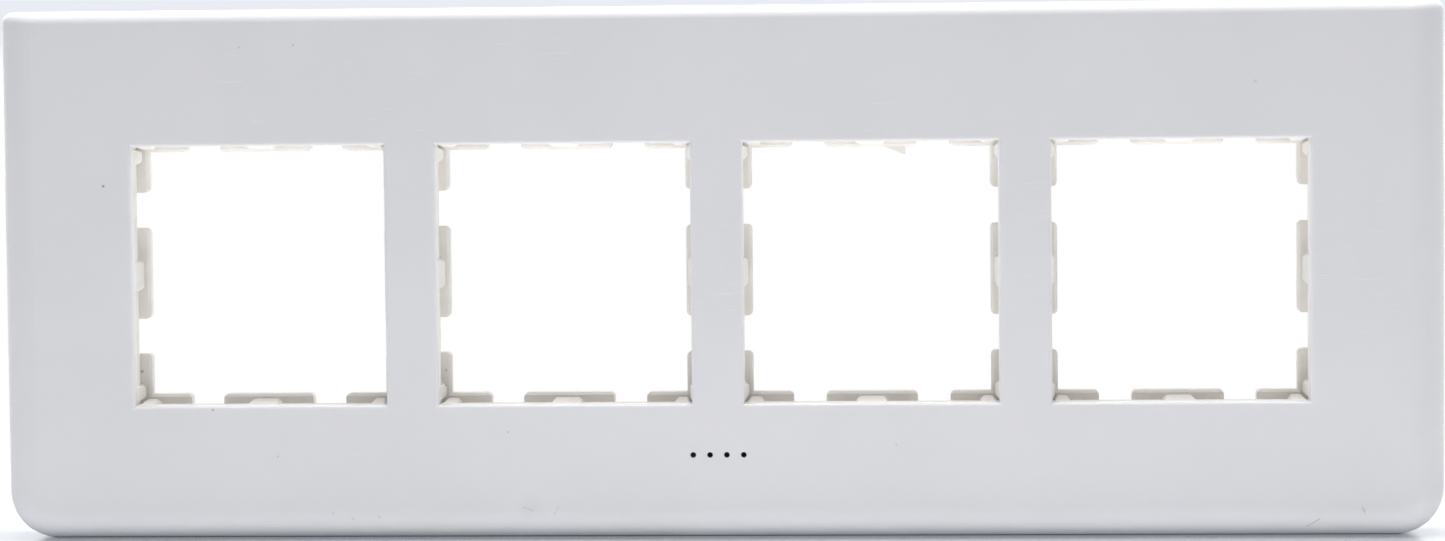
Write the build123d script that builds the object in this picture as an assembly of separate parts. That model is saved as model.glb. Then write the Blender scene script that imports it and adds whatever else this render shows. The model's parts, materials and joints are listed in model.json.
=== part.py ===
from build123d import *
import os

# A cover frame for modular switches, moulded in one piece, with its windows in a row.
# The front view is the XZ plane, with +X to the right and +Z up, and the front face looks
# along -Y. The origin lies on the rear rim plane, level with the centre of the row of windows.
# All sizes are in millimetres. A depth is measured backwards from the front face.

# The windows that the modules sit in
window_count = 4
window_width = 45.3
window_height = 46.5
window_rim = 0.7
bar_width = 9.3
side_margin = 24.15
end_margin = 24.25

# The shell: front wall, skirt and their roundings
body_depth = 12.4
front_wall = 2.4
skirt_wall = 2.0
lower_corner = 8.6
side_rounding = 6.3
top_rounding = 2.2

# The collar behind each window edge, and the tabs that carry the lips
collar_wall = 1.8
collar_depth = 4.5
tab_depth = 11.4
tab_setback = 0.8
centre_tab_width = 16.4
corner_tab_leg = 8.6
lip_reach = 1.3
lip_thickness = 2.6
lip_end_radius = 0.9
lip_bevel = 0.5

# The snap nibs in front of the lips
nib_front = 0.9
nib_crest = 5.8
nib_crest_width = 0.6
nib_back = 7.4
nib_height = 0.7
nib_slope = 0.6
nib_shoulder = 0.6
nib_root = 0.3
centre_nib_length = 5.5
corner_nib_length = 2.8
corner_nib_inset = 1.9

# The four small holes under the middle bar, which stop short of the back of the front wall
hole_count = 4
hole_pitch = 3.0
hole_diameter = 1.0
hole_skin = 0.5
hole_drop = 9.05

# Behind the face: low ribs, and catches on the skirt that hold the frame to its base
rib_wall = 1.2
catch_length = 8.0
catch_reach = 1.0
catch_height = 2.4
catch_setback = 0.8

# A torn sliver of flash that hangs from one of the upper lips
flash_start = 2.6
flash_length = 3.6
flash_drop = 1.4
flash_wall = 0.25

# How near an edge must lie to a line to be taken as lying on it
line_match = 0.01

# Worked out from the sizes above
window_pitch = window_width + bar_width
row_width = window_count * window_width + (window_count - 1) * bar_width
face_width = row_width + 2 * side_margin
face_height = window_height + 2 * end_margin
window_centres = [(index - (window_count - 1) / 2) * window_pitch for index in range(window_count)]
lip_front = tab_depth - lip_thickness
skirt_top = face_height / 2 - skirt_wall


def slab(outline, near, far):
    """A front-view outline made solid from one depth to another."""
    return Pos(0, far - body_depth, 0) * extrude(Plane.XZ * outline, far - near)


def moulded_block(width, height, near, far, corner, rounding):
    """A block with round lower corners, and a full rounding on its front edge at the sides
    and the bottom."""
    outline = Rectangle(width, height)
    outline = fillet(outline.vertices().group_by(Axis.Y)[0], corner)
    block = slab(outline, near, far)
    front_edges = block.faces().sort_by(Axis.Y)[0].edges().sort_by(Axis.Z)
    return fillet(front_edges[:-1], rounding)


def window_outline(grow=0.0):
    """One window in front view, grown all round by a wall or shrunk by a lip's reach."""
    return Rectangle(window_width + 2 * grow, window_height + 2 * grow)


def at_windows(shape):
    """A copy of a shape at every window."""
    return [Pos(centre, 0, 0) * shape for centre in window_centres]


def shell():
    """The front wall and the skirt, cut by the windows, with a small rounding along the top
    and round each window's front rim."""
    outer = moulded_block(face_width, face_height, 0, body_depth, lower_corner, side_rounding)
    top_edges = outer.faces().sort_by(Axis.Z)[-1].edges().sort_by(Axis.Y)
    outer = fillet(top_edges[:-1], top_rounding)
    cavity = moulded_block(
        face_width - 2 * skirt_wall,
        face_height - 2 * skirt_wall,
        front_wall,
        body_depth,
        lower_corner - skirt_wall,
        side_rounding - skirt_wall,
    )
    body = outer - cavity - at_windows(slab(window_outline(), 0, front_wall))
    rims = body.faces().sort_by(Axis.Y)[0].inner_wires()
    return fillet([edge for rim in rims for edge in rim.edges()], window_rim)


def tab_gaps():
    """The strips, in front view, that part the centre tabs from the corner tabs."""
    gaps = Sketch()
    for length, across, turn in (
        (window_width, window_height, 0),
        (window_height, window_width, 90),
    ):
        gap = length / 2 - corner_tab_leg - centre_tab_width / 2
        strip = Rectangle(gap, across + 4 * collar_wall)
        for side in (-1, 1):
            gaps += Rot(0, 0, turn) * Pos(side * (centre_tab_width + gap) / 2, 0) * strip
    return gaps


def collar():
    """The wall round one window, which stiffens its edge."""
    return slab(window_outline(collar_wall) - window_outline(), front_wall / 2, collar_depth)


def tabs():
    """Behind one window: a thin tab at the middle of each side and an angled one at each corner.
    They are flush with the outside of the collar, and step back from the window's edge."""
    outline = window_outline(collar_wall) - window_outline(tab_setback) - tab_gaps()
    return slab(outline, front_wall, tab_depth)


def on_line(place, distance):
    """Whether a place lies at a distance from the middle, on either side of it."""
    return abs(abs(place) - distance) < line_match


def lip_bevels():
    """The tapered cut that bevels the long front edges of one window's lips."""
    wide = Plane.XZ * window_outline(2 * lip_bevel - lip_reach)
    narrow = Plane.XZ * window_outline(-lip_reach)
    front_y = lip_front - body_depth
    ends = [Pos(0, front_y - lip_bevel, 0) * wide, Pos(0, front_y + lip_bevel, 0) * narrow]
    return loft([end.face() for end in ends], ruled=True)


def lips():
    """The lips at the ends of one window's tabs, which turn in towards the window and have
    their long front edges bevelled."""
    outline = window_outline(collar_wall) - window_outline(-lip_reach) - tab_gaps()
    inner_side = window_width / 2 - lip_reach
    inner_top = window_height / 2 - lip_reach
    free_corners = [
        vertex
        for vertex in outline.vertices()
        if on_line(vertex.X, inner_side) != on_line(vertex.Y, inner_top)
        and abs(vertex.X) < window_width / 2
        and abs(vertex.Y) < window_height / 2
    ]
    return slab(fillet(free_corners, lip_end_radius), lip_front, tab_depth) - lip_bevels()


def nib(length):
    """A snap nib that rises along +Z from a wall at Z = 0: a long ramp from the front, a narrow
    crest and a short back, with sloped ends and round shoulders. Its root reaches the tab."""
    root = -tab_setback - nib_root
    side_view = Polyline(
        (nib_front - body_depth, root),
        (nib_front - body_depth, 0),
        (nib_crest - body_depth, nib_height),
        (nib_crest + nib_crest_width - body_depth, nib_height),
        (nib_back - body_depth, 0),
        (nib_back - body_depth, root),
        close=True,
    )
    ramp = extrude(make_face(Plane.YZ * side_view), length / 2, both=True)
    front_view = Polyline(
        (-length / 2, root),
        (-length / 2, 0),
        (nib_slope - length / 2, nib_height),
        (length / 2 - nib_slope, nib_height),
        (length / 2, 0),
        (length / 2, root),
        close=True,
    )
    front_face = make_face(front_view)
    shoulders = front_face.vertices().group_by(Axis.Y)[-1]
    return ramp & slab(fillet(shoulders, nib_shoulder), nib_front, nib_back)


def nibs():
    """The nibs of one window: one at the middle of each side and one beside every corner."""
    centre_nib = nib(centre_nib_length)
    corner_nib = nib(corner_nib_length)
    placed = []
    for turn, along, reach in (
        (0, window_width / 2, window_height / 2),
        (90, window_height / 2, window_width / 2),
        (180, window_width / 2, window_height / 2),
        (270, window_height / 2, window_width / 2),
    ):
        side = Rot(0, turn, 0) * Pos(0, 0, -reach)
        placed.append(side * centre_nib)
        for end in (-1, 1):
            placed.append(side * Pos(end * (along - corner_nib_inset), 0, 0) * corner_nib)
    return placed


def ribs():
    """Low ribs behind the face, from the collars out into the middle of the skirt's wall."""
    upright = Rectangle(rib_wall, end_margin - collar_wall / 2)
    upright_at = (face_height + window_height + collar_wall) / 4
    level = Rectangle(side_margin - collar_wall / 2, rib_wall)
    level_at = (face_width + row_width + collar_wall) / 4
    outlines = [Pos(x, side * upright_at) * upright for x in window_centres for side in (-1, 1)]
    outlines += [Pos(side * level_at, 0) * level for side in (-1, 1)]
    middle_of_wall = moulded_block(
        face_width - skirt_wall,
        face_height - skirt_wall,
        front_wall / 2,
        body_depth,
        lower_corner - skirt_wall / 2,
        side_rounding - skirt_wall / 2,
    )
    return [slab(outline, front_wall / 2, collar_depth) & middle_of_wall for outline in outlines]


def catches():
    """Wedges inside the upper and lower skirt, in line with the bars and beyond the end windows."""
    tip = -catch_setback
    wedge = make_face(
        Plane.YZ
        * Polyline(
            (tip, skirt_top + skirt_wall / 2),
            (tip, skirt_top),
            (tip - catch_height, skirt_top - catch_reach),
            (tip - catch_height, skirt_top + skirt_wall / 2),
            close=True,
        )
    )
    upper = extrude(wedge, catch_length / 2, both=True)
    lower = mirror(upper, Plane.XY)
    stations = [(index - window_count / 2) * window_pitch for index in range(window_count + 1)]
    return [Pos(x, 0, 0) * wedge for x in stations for wedge in (upper, lower)]


def small_holes():
    """The row of small round holes in the face, centred under the middle of the windows. Each
    is blind, with a thin skin left at its bottom."""
    level = -window_height / 2 - hole_drop
    outlines = [
        Pos((index - (hole_count - 1) / 2) * hole_pitch, level) * Circle(hole_diameter / 2)
        for index in range(hole_count)
    ]
    return [slab(outline, 0, front_wall - hole_skin) for outline in outlines]


def flash():
    """The torn sliver, thin and three-cornered, on the front edge of the upper centre lip in
    the window to the right of the middle bar."""
    start = window_centres[window_count // 2] + flash_start
    edge = window_height / 2 - lip_reach
    root = edge + lip_bevel
    outline = make_face(
        Polyline(
            (start, root),
            (start, edge),
            (start + flash_length, edge - flash_drop),
            (start + flash_length, root),
            close=True,
        )
    )
    near = lip_front + lip_bevel
    return slab(outline, near, near + flash_wall)


frame = shell() + at_windows(collar()) + at_windows(tabs()) + at_windows(lips())
frame += [Pos(centre, 0, 0) * one for centre in window_centres for one in nibs()]
frame += ribs() + catches() + [flash()]
frame = frame - small_holes()

print("face", round(face_width, 2), "by", round(face_height, 2), "by", body_depth)
print("solids", len(frame.solids()), "valid", frame.is_valid, "volume", round(frame.volume, 1))

os.makedirs("parts", exist_ok=True)
export_step(frame.solids()[0], "parts/window_frame.step")
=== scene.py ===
# %% [markdown]
# # A white cover frame for modular switches
# The object is one injection moulding: a long glossy face with four windows in a row, and
# behind each window a collar with tabs, lips and snap nibs. Its shape comes from the packed
# CAD model, so this lesson is about the rest: where the camera stands, what the plastic is
# like, how the studio is lit, and the small marks that a handled sample carries.

# %% Load the frame
import json
import math
import bpy
from mathutils import Matrix, Vector


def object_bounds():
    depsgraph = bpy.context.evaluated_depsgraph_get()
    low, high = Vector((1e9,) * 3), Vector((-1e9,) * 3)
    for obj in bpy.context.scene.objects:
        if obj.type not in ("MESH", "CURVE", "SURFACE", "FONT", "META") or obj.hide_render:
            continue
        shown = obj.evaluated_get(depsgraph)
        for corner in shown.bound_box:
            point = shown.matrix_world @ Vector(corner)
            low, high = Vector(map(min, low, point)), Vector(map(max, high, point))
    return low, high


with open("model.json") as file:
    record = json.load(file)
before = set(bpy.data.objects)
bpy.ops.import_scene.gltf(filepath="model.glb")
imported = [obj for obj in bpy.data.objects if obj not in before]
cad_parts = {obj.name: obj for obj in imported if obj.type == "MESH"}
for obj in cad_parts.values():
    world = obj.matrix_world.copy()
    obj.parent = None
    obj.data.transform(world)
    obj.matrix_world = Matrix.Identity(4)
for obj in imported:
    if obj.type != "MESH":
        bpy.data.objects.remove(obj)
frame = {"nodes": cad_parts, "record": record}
cad_low, cad_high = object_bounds()
moulding = frame["nodes"]["window_frame"]
MM = 0.001
half_width = cad_high.x
half_height = cad_high.z
face_y = cad_low.y
print("face", round(2 * half_width / MM, 1), "by", round(2 * half_height / MM, 1), "mm")
print("packed facets", len(moulding.data.polygons))

# %% [markdown]
# ## The camera
# A camera could be placed by eye, but then the walls inside the windows would show by the
# wrong amount. Here its place was worked out from the window edges: how far each lip is
# shifted against the rim in front of it says where the lens was. It stood 0.66 m away, a
# little right of the middle and about level with the top edge, turned slightly left and down.
# The picture was a low part of a larger one. A small downward lens shift follows that.

# %% Camera
IMAGE_WIDTH = 1445
SENSOR_WIDTH = 36.0
FOCAL_PIXELS = 3659.6
LENS_SHIFT = -0.05
CAMERA_PLACE = Vector((34.55, -658.87, 46.31)) * MM
CAMERA_HEADING = math.radians(2.957)
CAMERA_DIP = math.radians(2.913)
CAMERA_ROLL = math.radians(-0.561)
camera_data = bpy.data.cameras.new("camera")
camera_data.sensor_width = SENSOR_WIDTH
camera_data.lens = FOCAL_PIXELS / IMAGE_WIDTH * SENSOR_WIDTH
camera_data.shift_y = LENS_SHIFT
camera = bpy.data.objects.new("camera", camera_data)
bpy.context.scene.collection.objects.link(camera)
bpy.context.scene.camera = camera

heading = Matrix.Rotation(CAMERA_HEADING, 4, "Z")
tilt = Matrix.Rotation(math.pi / 2 - CAMERA_DIP, 4, "X")
roll = Matrix.Rotation(CAMERA_ROLL, 4, "Z")
camera.matrix_world = Matrix.Translation(CAMERA_PLACE) @ heading @ tilt @ roll
print("lens", round(camera_data.lens, 1), "mm, distance", round(-CAMERA_PLACE.y, 3), "m")

# %% [markdown]
# ## Writing shader maths as sums
# A material's maths can be built by placing nodes one by one, which soon hides the idea.
# This small class wraps one socket, so that `1 - mask * 0.5` adds the Math nodes itself.
# Colours and directions need other nodes, because a Math node would turn them grey. They all
# come from one method, which takes the node's type, its settings and what goes into it.

# %% Socket class
class Wire:
    """One output socket. Sums and products written with it become Math nodes."""

    def __init__(self, tree, socket=None):
        self.tree = tree
        self.socket = socket

    def node(self, kind, settings=None, inputs=None, output=0):
        made = self.tree.nodes.new(kind)
        for name, value in (settings or {}).items():
            setattr(made, name, value)
        for key, value in (inputs or {}).items():
            if isinstance(value, Wire):
                self.tree.links.new(value.socket, made.inputs[key])
            else:
                made.inputs[key].default_value = value
        return Wire(self.tree, made.outputs[output])

    def math(self, operation, *values):
        return self.node("ShaderNodeMath", {"operation": operation}, dict(enumerate(values)))

    def __add__(self, other):
        return self.math("ADD", self, other)

    def __radd__(self, other):
        return self.math("ADD", other, self)

    def __sub__(self, other):
        return self.math("SUBTRACT", self, other)

    def __rsub__(self, other):
        return self.math("SUBTRACT", other, self)

    def __mul__(self, other):
        return self.math("MULTIPLY", self, other)

    def __rmul__(self, other):
        return self.math("MULTIPLY", other, self)

    def __abs__(self):
        return self.math("ABSOLUTE", self)

    def root(self):
        return self.math("SQRT", self)

    def most(self, other):
        return self.math("MAXIMUM", self, other)

    def least(self, other):
        return self.math("MINIMUM", self, other)

    def ramp(self, start, end):
        """0 before start, 1 after end, with a soft change between them."""
        settings = {"interpolation_type": "SMOOTHSTEP"}
        inputs = {"Value": self, "From Min": start, "From Max": end}
        return self.node("ShaderNodeMapRange", settings, inputs)

    def blend(self, first, second):
        """The first colour where this is 0, and the second where it is 1."""
        settings = {"data_type": "RGBA"}
        return self.node("ShaderNodeMix", settings, {0: self, 6: first, 7: second}, output=2)

    def vector(self, operation, other, output=0):
        settings = {"operation": operation}
        return self.node("ShaderNodeVectorMath", settings, {0: self, 1: other}, output)

    def distance(self, point):
        return self.vector("DISTANCE", point, output=1)

    def along(self, direction):
        """A direction, made longer or shorter by this number."""
        settings = {"operation": "SCALE"}
        return self.node("ShaderNodeVectorMath", settings, {0: direction, 3: self})

    def parts(self):
        """The x, y and z of a direction or place."""
        made = self.node("ShaderNodeSeparateXYZ", inputs={0: self}).socket.node
        return [Wire(self.tree, socket) for socket in made.outputs]

    def noise(self, size, detail=2.0):
        """Soft noise from 0 to 1 whose lumps are about one size across."""
        inputs = {"Vector": self, "Scale": 1 / size, "Detail": detail, "Roughness": 0.5}
        return self.node("ShaderNodeTexNoise", inputs=inputs)


def new_material(name):
    """A node material, its Principled shader, and the place on the object as a Wire."""
    material = bpy.data.materials.new(name)
    material.use_nodes = True
    tree = material.node_tree
    where = Wire(tree).node("ShaderNodeTexCoord", output=3)
    return material, tree.nodes["Principled BSDF"], where


def feed(shader, name, wire):
    """Link a Wire to one of a shader's inputs."""
    wire.tree.links.new(wire.socket, shader.inputs[name])


def length(*steps):
    """How far steps along different axes lead when they are taken together."""
    total = steps[0] * steps[0]
    for step in steps[1:]:
        total = total + step * step
    return total.root()


white_plastic, plastic, where = new_material("white_plastic")
x, y, z = where.parts()
print("material", white_plastic.name, "starts from", where.socket.name, "coordinates")

# %% [markdown]
# ## Skin and inside
# The face was moulded against polished steel, so it is smooth and glossy. The inside of the
# mould was only eroded, which leaves the lips, tabs and ribs duller and faintly grainy. Their
# colour is also painted warmer and lighter, as painted light thrown between the walls. It
# could be two materials on two sets of faces, but it is one moulding, and the change is soft.
# So one mask does it: the distance to the outer skin, taken as a box with rounded edges. It
# stays above -1.1 mm all over the skin, and it is below -1.7 mm on the lips, the tabs, the
# ribs and the back.

# %% Mask from the skin to the inside
SKIN_ROUNDING = 6.3 * MM
SKIN_END = -1.1 * MM
INSIDE_START = -1.7 * MM
out_x = abs(x) - (half_width - SKIN_ROUNDING)
out_z = abs(z) - (half_height - SKIN_ROUNDING)
out_y = (face_y + SKIN_ROUNDING) - y
beyond = [out.most(0.0) for out in (out_x, out_y, out_z)]
skin_distance = length(*beyond) + out_x.most(out_y).most(out_z).least(0.0) - SKIN_ROUNDING
inside = 1 - skin_distance.ramp(INSIDE_START, SKIN_END)
print("skin ends", -SKIN_END / MM, "mm under the surface")

# %% [markdown]
# ## The wells, painted dark
# The four small holes read almost black, and a little brown. They are blind, and their walls
# and ends are painted near-black: painted shade, for the darkness seen in the holes. The
# holes' places come from the record, as the mounts that a light guide would use, and the mask
# is the distance to each axis. It reaches just past the wall of each hole and starts just
# under the face. The first hole from the left is painted a greyer shade than the others.

# %% Wells
WELL_CORE = 1.04
WELL_EDGE = 1.12
WELL_LIP = 0.02 * MM
WELL_DEPTH = 0.35 * MM
mounts = sorted(frame["record"]["mounts"], key=lambda mount: mount["pos_m"][0])
holes = [mount for mount in mounts if mount["name"].startswith("small_hole")]
well_radius = holes[0]["dims"]["r_mm"] * MM
below_face = (y - face_y).ramp(WELL_LIP, WELL_DEPTH)
spots = []
for hole in holes:
    hole_x, _, hole_z = hole["pos_m"]
    off_axis = length(x - hole_x, z - hole_z)
    spots.append(1 - off_axis.ramp(well_radius * WELL_CORE, well_radius * WELL_EDGE))
# This mask marks where the painted shade of the wells goes.
well_shade = spots[0]
for spot in spots[1:]:
    well_shade = well_shade.most(spot)
first_well_shade = spots[0] * below_face
well_shade = well_shade * below_face
print("wells:", len(holes), "of radius", well_radius / MM, "mm")

# %% [markdown]
# ## Specks
# The sample isn't clean. A few dark specks sit on the face, the rims and the lips. They could
# be painted in an image, but then they would only be right from the front. Here each one is a
# place on the object, seen from the front and in mm, with its depth behind the face, a radius
# and a strength. The distance to the place draws a soft dot.

# %% Specks
LIP_FRONT = 8.8
DOT_CORE = 0.3
DOT_EDGE = 1.2
SPECKS = {
    "left of the first window": ((-109.6, 16.3), 0.0, 0.32, 0.75),
    "above the first window": ((-84.7, 40.9), 0.0, 0.25, 0.35),
    "above the first window, right": ((-75.0, 41.2), 0.0, 0.25, 0.35),
    "under the first window": ((-78.9, -32.3), 0.0, 0.25, 0.35),
    "rim of the first window": ((-90.5, -23.9), 0.0, 0.32, 0.50),
    "under the second window": ((-37.5, -28.1), 0.0, 0.25, 0.40),
    "under the third window": ((31.6, -30.6), 0.0, 0.25, 0.30),
    "lower rounding, left": ((-69.1, -42.5), 0.3, 0.30, 0.30),
    "lower rounding, second": ((-65.7, -43.6), 0.5, 0.30, 0.30),
    "lower rounding, third": ((-60.9, -43.3), 0.5, 0.30, 0.30),
    "lower rounding, right": ((113.9, -42.5), 0.3, 0.35, 0.40),
    "above the fourth window": ((95.0, 33.3), 0.0, 0.30, 0.30),
    "sill of the fourth window": ((75.3, -23.5), 0.6, 0.35, 0.50),
    "left lip of the first window": ((-105.05, -17.8), LIP_FRONT, 0.35, 0.55),
    "left lip of the second window": ((-49.6, -17.8), LIP_FRONT, 0.28, 0.40),
    "left lip of the second window, low": ((-49.7, -20.7), LIP_FRONT, 0.28, 0.40),
}


def place_on(front_view, depth):
    """A place on the object, from its x and z in mm and its depth behind the face in mm."""
    place_x, place_z = front_view
    return Vector((place_x * MM, face_y + depth * MM, place_z * MM))


def soft_dot(off, radius):
    """1 where a distance is small against a radius in mm, and 0 past it."""
    return 1 - off.ramp(radius * DOT_CORE * MM, radius * DOT_EDGE * MM)


marks = None
for front_view, depth, radius, strength in SPECKS.values():
    dot = soft_dot(where.distance(place_on(front_view, depth)), radius) * strength
    marks = dot if marks is None else marks.most(dot)
print("specks:", len(SPECKS))

# %% [markdown]
# ## Scratches and a smudge
# The lower rounding was dragged over something and has four short, thin scratches, and there
# is a faint smudge under the second window. Noise would put scratches everywhere. So each one
# is drawn as a line: the nearest place on the line is worked out first, and the distance to
# it makes the mark, in the same way as for a speck.

# %% Scratches and the smudge
SCRATCHES = {
    "lower right": ((106.2, -44.1), 0.7, (104.0, -45.6), 1.8, 0.15, 0.45),
    "lower right, short": ((113.6, -41.9), 0.1, (114.1, -43.0), 0.3, 0.15, 0.35),
    "under the second window": ((-34.9, -41.6), 0.1, (-33.2, -42.2), 0.2, 0.2, 0.25),
    "its faint neighbour": ((-29.5, -43.0), 0.3, (-28.6, -41.4), 0.1, 0.2, 0.12),
}
SMUDGE_PLACE = Vector((-33.7, -12.2, -41.7)) * MM
SMUDGE_REACH = 3.5 * MM
SMUDGE_STRENGTH = 0.05
for start_view, start_depth, end_view, end_depth, radius, strength in SCRATCHES.values():
    start = place_on(start_view, start_depth)
    run = place_on(end_view, end_depth) - start
    from_start = where.vector("SUBTRACT", start)
    share = from_start.vector("DOT_PRODUCT", run, output=1) * (1 / run.length_squared)
    nearest = share.most(0.0).least(1.0).along(run)
    marks = marks.most(soft_dot(from_start.distance(nearest), radius) * strength)
smudge = 1 - where.distance(SMUDGE_PLACE).ramp(0.0, SMUDGE_REACH)
marks = marks.most(smudge * SMUDGE_STRENGTH)
print("scratches:", len(SCRATCHES), "and a smudge that reaches", SMUDGE_REACH / MM, "mm")

# %% [markdown]
# ## Colour
# White plastic is never one flat white. The melt flows in from its gates and leaves very
# faint cloudy streaks, the inside catches a little dust, and the thin lips let a little warm
# light through. The inside is also painted warmer and lighter than the face: painted light,
# for the warm light thrown between the walls onto the shaded lips and tabs. The differences
# are small on purpose: they should be felt and not seen. Subsurface scattering gives the
# light through the lips, with one fixed weight.

# %% Colour
FACE_WHITE = (0.80, 0.80, 0.815, 1)
FACE_CLOUD = (0.785, 0.785, 0.795, 1)
# Painted light: the inside colours are warmer and lighter than the face, for warm light thrown
# between the walls. The darker one adds dust at random.
INSIDE_WARM_BOUNCE = (0.88, 0.855, 0.812, 1)
INSIDE_DUST_AND_BOUNCE = (0.83, 0.80, 0.752, 1)
# Painted shade for the wells: near-black, and grey for the first one.
WELL_PAINTED_SHADE = (0.085, 0.060, 0.055, 1)
WELL_PAINTED_GREY = (0.20, 0.20, 0.20, 1)
MARK_BROWN = (0.20, 0.17, 0.15, 1)
CLOUD_SIZE = 28 * MM
CLOUD_ENDS = (0.35, 0.65)
DUST_SIZE = 4.5 * MM
DUST_ENDS = (0.35, 0.75)
PLASTIC_IOR = 1.52
SCATTER_WEIGHT = 0.12
SCATTER_REACH = 1.2 * MM
SCATTER_SHARES = (1.0, 0.85, 0.7)
clouds = where.noise(CLOUD_SIZE, detail=3.0).ramp(*CLOUD_ENDS)
dust = where.noise(DUST_SIZE, detail=4.0).ramp(*DUST_ENDS)
skin_colour = clouds.blend(FACE_WHITE, FACE_CLOUD)
inside_dust_and_bounce = dust.blend(INSIDE_WARM_BOUNCE, INSIDE_DUST_AND_BOUNCE)
# Here the inside gets its painted warm bounce light, with the dust.
colour = inside.blend(skin_colour, inside_dust_and_bounce)
colour = marks.blend(colour, MARK_BROWN)
# Painted shade: the wells are coloured dark, and the first one grey.
colour = well_shade.blend(colour, WELL_PAINTED_SHADE)
colour = first_well_shade.blend(colour, WELL_PAINTED_GREY)
feed(plastic, "Base Color", colour)
plastic.inputs["IOR"].default_value = PLASTIC_IOR
plastic.inputs["Subsurface Weight"].default_value = SCATTER_WEIGHT
plastic.inputs["Subsurface Radius"].default_value = SCATTER_SHARES
plastic.inputs["Subsurface Scale"].default_value = SCATTER_REACH
print("clouds", CLOUD_SIZE / MM, "mm wide, subsurface weight", SCATTER_WEIGHT)

# %% [markdown]
# ## Gloss and relief
# The polished skin still has hairlines from wiping, and its reflection is very slightly
# wavy, because the wall sank unevenly as it cooled. The inside has the fine grain of the
# eroded mould and is nearly matt. The Bevel node rounds what light sees of each sharp edge
# by a fifth of a millimetre, as any moulded edge is. Rounding the mesh itself would cost
# many thousand facets for something narrower than a pixel.

# %% Gloss and relief
SKIN_ROUGHNESS = 0.22
CLOUDS_ROUGHER = 0.03
HAIRLINES_ROUGHER = 0.06
INSIDE_ROUGHER = 0.55
MARKS_ROUGHER = 0.25
ROUGHEST = 0.9
HAIRLINE_WIDTH = 0.35 * MM
HAIRLINE_ENDS = (0.62, 0.75)
ALONG_THE_ROW = (0.05, 1.0, 1.0)
WIPED_SIZE = 35 * MM
WIPED_ENDS = (0.40, 0.70)
WAVE_SIZE = 22 * MM
WAVE_HEIGHT = 0.020 * MM
GRAIN_SIZE = 0.28 * MM
GRAIN_HEIGHT = 0.010 * MM
EDGE_ROUNDING = 0.2 * MM
EDGE_SAMPLES = 6
drawn_out = where.vector("MULTIPLY", ALONG_THE_ROW)
hairlines = drawn_out.noise(HAIRLINE_WIDTH).ramp(*HAIRLINE_ENDS)
wiped = where.noise(WIPED_SIZE).ramp(*WIPED_ENDS)
skin_gloss = SKIN_ROUGHNESS + clouds * CLOUDS_ROUGHER + hairlines * wiped * HAIRLINES_ROUGHER
roughness = skin_gloss + inside * INSIDE_ROUGHER + marks * MARKS_ROUGHER
feed(plastic, "Roughness", roughness.least(ROUGHEST))

waves = where.noise(WAVE_SIZE, detail=1.0) * WAVE_HEIGHT
grain = where.noise(GRAIN_SIZE) * GRAIN_HEIGHT
relief = waves * (1 - inside) + grain * inside
rounded = where.node("ShaderNodeBevel", {"samples": EDGE_SAMPLES}, {"Radius": EDGE_ROUNDING})
bump_inputs = {"Strength": 1.0, "Distance": 1.0, "Height": relief, "Normal": rounded}
feed(plastic, "Normal", where.node("ShaderNodeBump", inputs=bump_inputs))
moulding.data.materials[0] = white_plastic
print("edges look rounded by", EDGE_ROUNDING / MM, "mm")

# %% [markdown]
# ## The lamps
# White things are shot against white by keeping them a little darker than the paper. One
# softbox hangs right above the frame, in line with its face. It whitens the top edge, skims
# the face, and lights the table in front, which throws light up at the lower rounding. A
# lamp in front would make the face the brightest part, and in the photo the lower rounding
# is brighter. A second, weak softbox far behind lights the tabs and the back.

# %% Lamps
OVERHEAD_PLACE = (0.015, -0.014, 0.46)
OVERHEAD_TARGET = (0.015, -0.014, 0)
OVERHEAD_SIZE = (0.40, 0.14)
OVERHEAD_WATTS = 3.2
REAR_PLACE = (0, 0.7, 0.30)
REAR_TARGET = (0, 0, 0)
REAR_SIZE = (1.6, 0.7)
REAR_WATTS = 2.5


def softbox(name, centre, target, size, watts):
    """A rectangular lamp that the camera doesn't see."""
    data = bpy.data.lights.new(name, "AREA")
    data.shape = "RECTANGLE"
    data.size, data.size_y = size
    data.energy = watts
    lamp = bpy.data.objects.new(name, data)
    bpy.context.scene.collection.objects.link(lamp)
    facing = Vector(target) - Vector(centre)
    lamp.location = centre
    lamp.rotation_euler = facing.to_track_quat("-Z", "Y").to_euler()
    lamp.visible_camera = False
    print(name, watts, "W")


softbox("overhead softbox", OVERHEAD_PLACE, OVERHEAD_TARGET, OVERHEAD_SIZE, OVERHEAD_WATTS)
softbox("rear softbox", REAR_PLACE, REAR_TARGET, REAR_SIZE, REAR_WATTS)

# %% [markdown]
# ## The room
# The rest of the light comes evenly from the whole room. What the camera sees of the room is
# a pale blue grey backdrop, which shows over the top edge. If the room gave as much light as
# that, it would wash out the frame. So it gives less than half as much, and the Light Path
# node tells the two apart. What shows in a reflection counts as seen, because a glossy face
# would look wrong if it reflected another room.

# %% Room
AMBIENT = (0.37, 0.37, 0.38, 1)
BACKDROP = (0.82, 0.845, 0.905, 1)
SEEN_RAYS = ("Is Camera Ray", "Is Glossy Ray", "Is Transmission Ray")


def seen_directly(start):
    """1 for what the camera sees, also in a reflection, and 0 for light on the object."""
    rays = start.node("ShaderNodeLightPath").socket.node.outputs
    camera_ray, glossy_ray, clear_ray = (Wire(start.tree, rays[name]) for name in SEEN_RAYS)
    return camera_ray.most(glossy_ray).most(clear_ray)


world = bpy.data.worlds.new("studio")
bpy.context.scene.world = world
world.use_nodes = True
background = world.node_tree.nodes["Background"]
feed(background, "Color", seen_directly(Wire(world.node_tree)).blend(AMBIENT, BACKDROP))
print("ambient", AMBIENT[:3])
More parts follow.
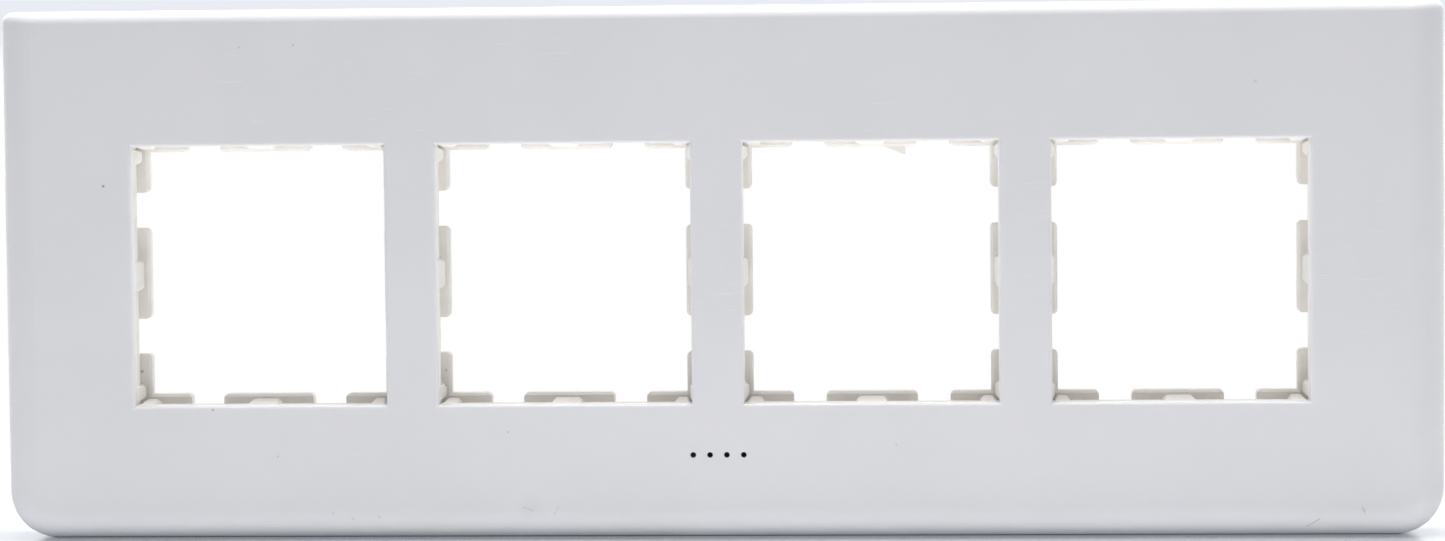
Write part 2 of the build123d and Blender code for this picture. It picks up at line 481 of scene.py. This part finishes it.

# %% [markdown]
# ## The table
# The table has to keep the frame's shadow close by, and be plain white paper further off.
# Lighting it until it is white would burn out the object too. So its own shading fades into
# a plain white with the distance from the frame, for what the camera sees, and far away
# that white turns into the pale blue grey of the backdrop. The table throws back light as
# white paper does, while what the camera sees of it near the frame is painted grey: painted
# shade, for the shade that the frame casts there. It also glows a little, as painted light,
# but not at the foot, the flat strip that the frame stands on. That keeps the underside of
# the rounding pale down to the thin dark line where the frame touches it.

# %% Table
TABLE_REACH = 60.0
TABLE_WHITE = (0.90, 0.90, 0.91, 1)
# Painted shade: the camera sees the table greyer near the frame than the white that lights it.
TABLE_SEEN_SHADE = (0.42, 0.425, 0.44, 1)
TABLE_ROUGHNESS = 0.2
TABLE_SHINE = 0.3
TABLE_GLOW = 0.12
GLOW_TINT = (0.84, 0.92, 1.0, 1)
GLOW_START = 0.3 * MM
GLOW_END = 1.8 * MM
FOOT_INSET = 8.6 * MM
FOOT_DEPTH = -face_y - SKIN_ROUNDING
SHADOW_START = 0.03
SHADOW_END = 0.16
HAZE_START = 4.0
HAZE_END = 16.0
BLACK = (0, 0, 0, 1)
WHITE = (1, 1, 1, 1)
table_mesh = bpy.data.meshes.new("table")
signs = ((-1, -1), (1, -1), (1, 1), (-1, 1))
table_corners = [(right * TABLE_REACH, back * TABLE_REACH, cad_low.z) for right, back in signs]
table_mesh.from_pydata(table_corners, [], [(0, 1, 2, 3)])
table = bpy.data.objects.new("table", table_mesh)
bpy.context.scene.collection.objects.link(table)

table_top, table_shader, on_table = new_material("table_top")
table_x, table_y, _ = on_table.parts()
seen = seen_directly(on_table)
# Painted shade: camera rays get the greyer table tone, and light on the frame gets white
# paper.
feed(table_shader, "Base Color", seen.blend(TABLE_WHITE, TABLE_SEEN_SHADE))
table_shader.inputs["Roughness"].default_value = TABLE_ROUGHNESS
table_shader.inputs["Specular IOR Level"].default_value = TABLE_SHINE
table_shader.inputs["Emission Strength"].default_value = TABLE_GLOW

foot_x = (abs(table_x) - (half_width - FOOT_INSET)).most(0.0)
foot_y = (abs(table_y + FOOT_DEPTH / 2) - FOOT_DEPTH / 2).most(0.0)
glow = length(foot_x, foot_y).ramp(GLOW_START, GLOW_END)
feed(table_shader, "Emission Color", glow.blend(BLACK, GLOW_TINT))

past_x = (abs(table_x) - half_width).most(0.0)
past_y = (abs(table_y) - (cad_high.y - cad_low.y)).most(0.0)
away = length(past_x, past_y)
paper = away.ramp(HAZE_START, HAZE_END).blend(WHITE, BACKDROP)
plain = on_table.node("ShaderNodeEmission", inputs={"Color": paper, "Strength": 1.0})
fade = away.ramp(SHADOW_START, SHADOW_END) * seen
mixed = on_table.node("ShaderNodeMixShader", inputs={0: fade, 2: plain})
links = on_table.tree.links
links.new(table_shader.outputs[0], mixed.socket.node.inputs[1])
links.new(mixed.socket, on_table.tree.nodes["Material Output"].inputs[0])
table_mesh.materials.append(table_top)
print("shadow kept within", SHADOW_END, "m of the frame")

# %% Finish
bpy.context.scene.view_settings.view_transform = "Standard"
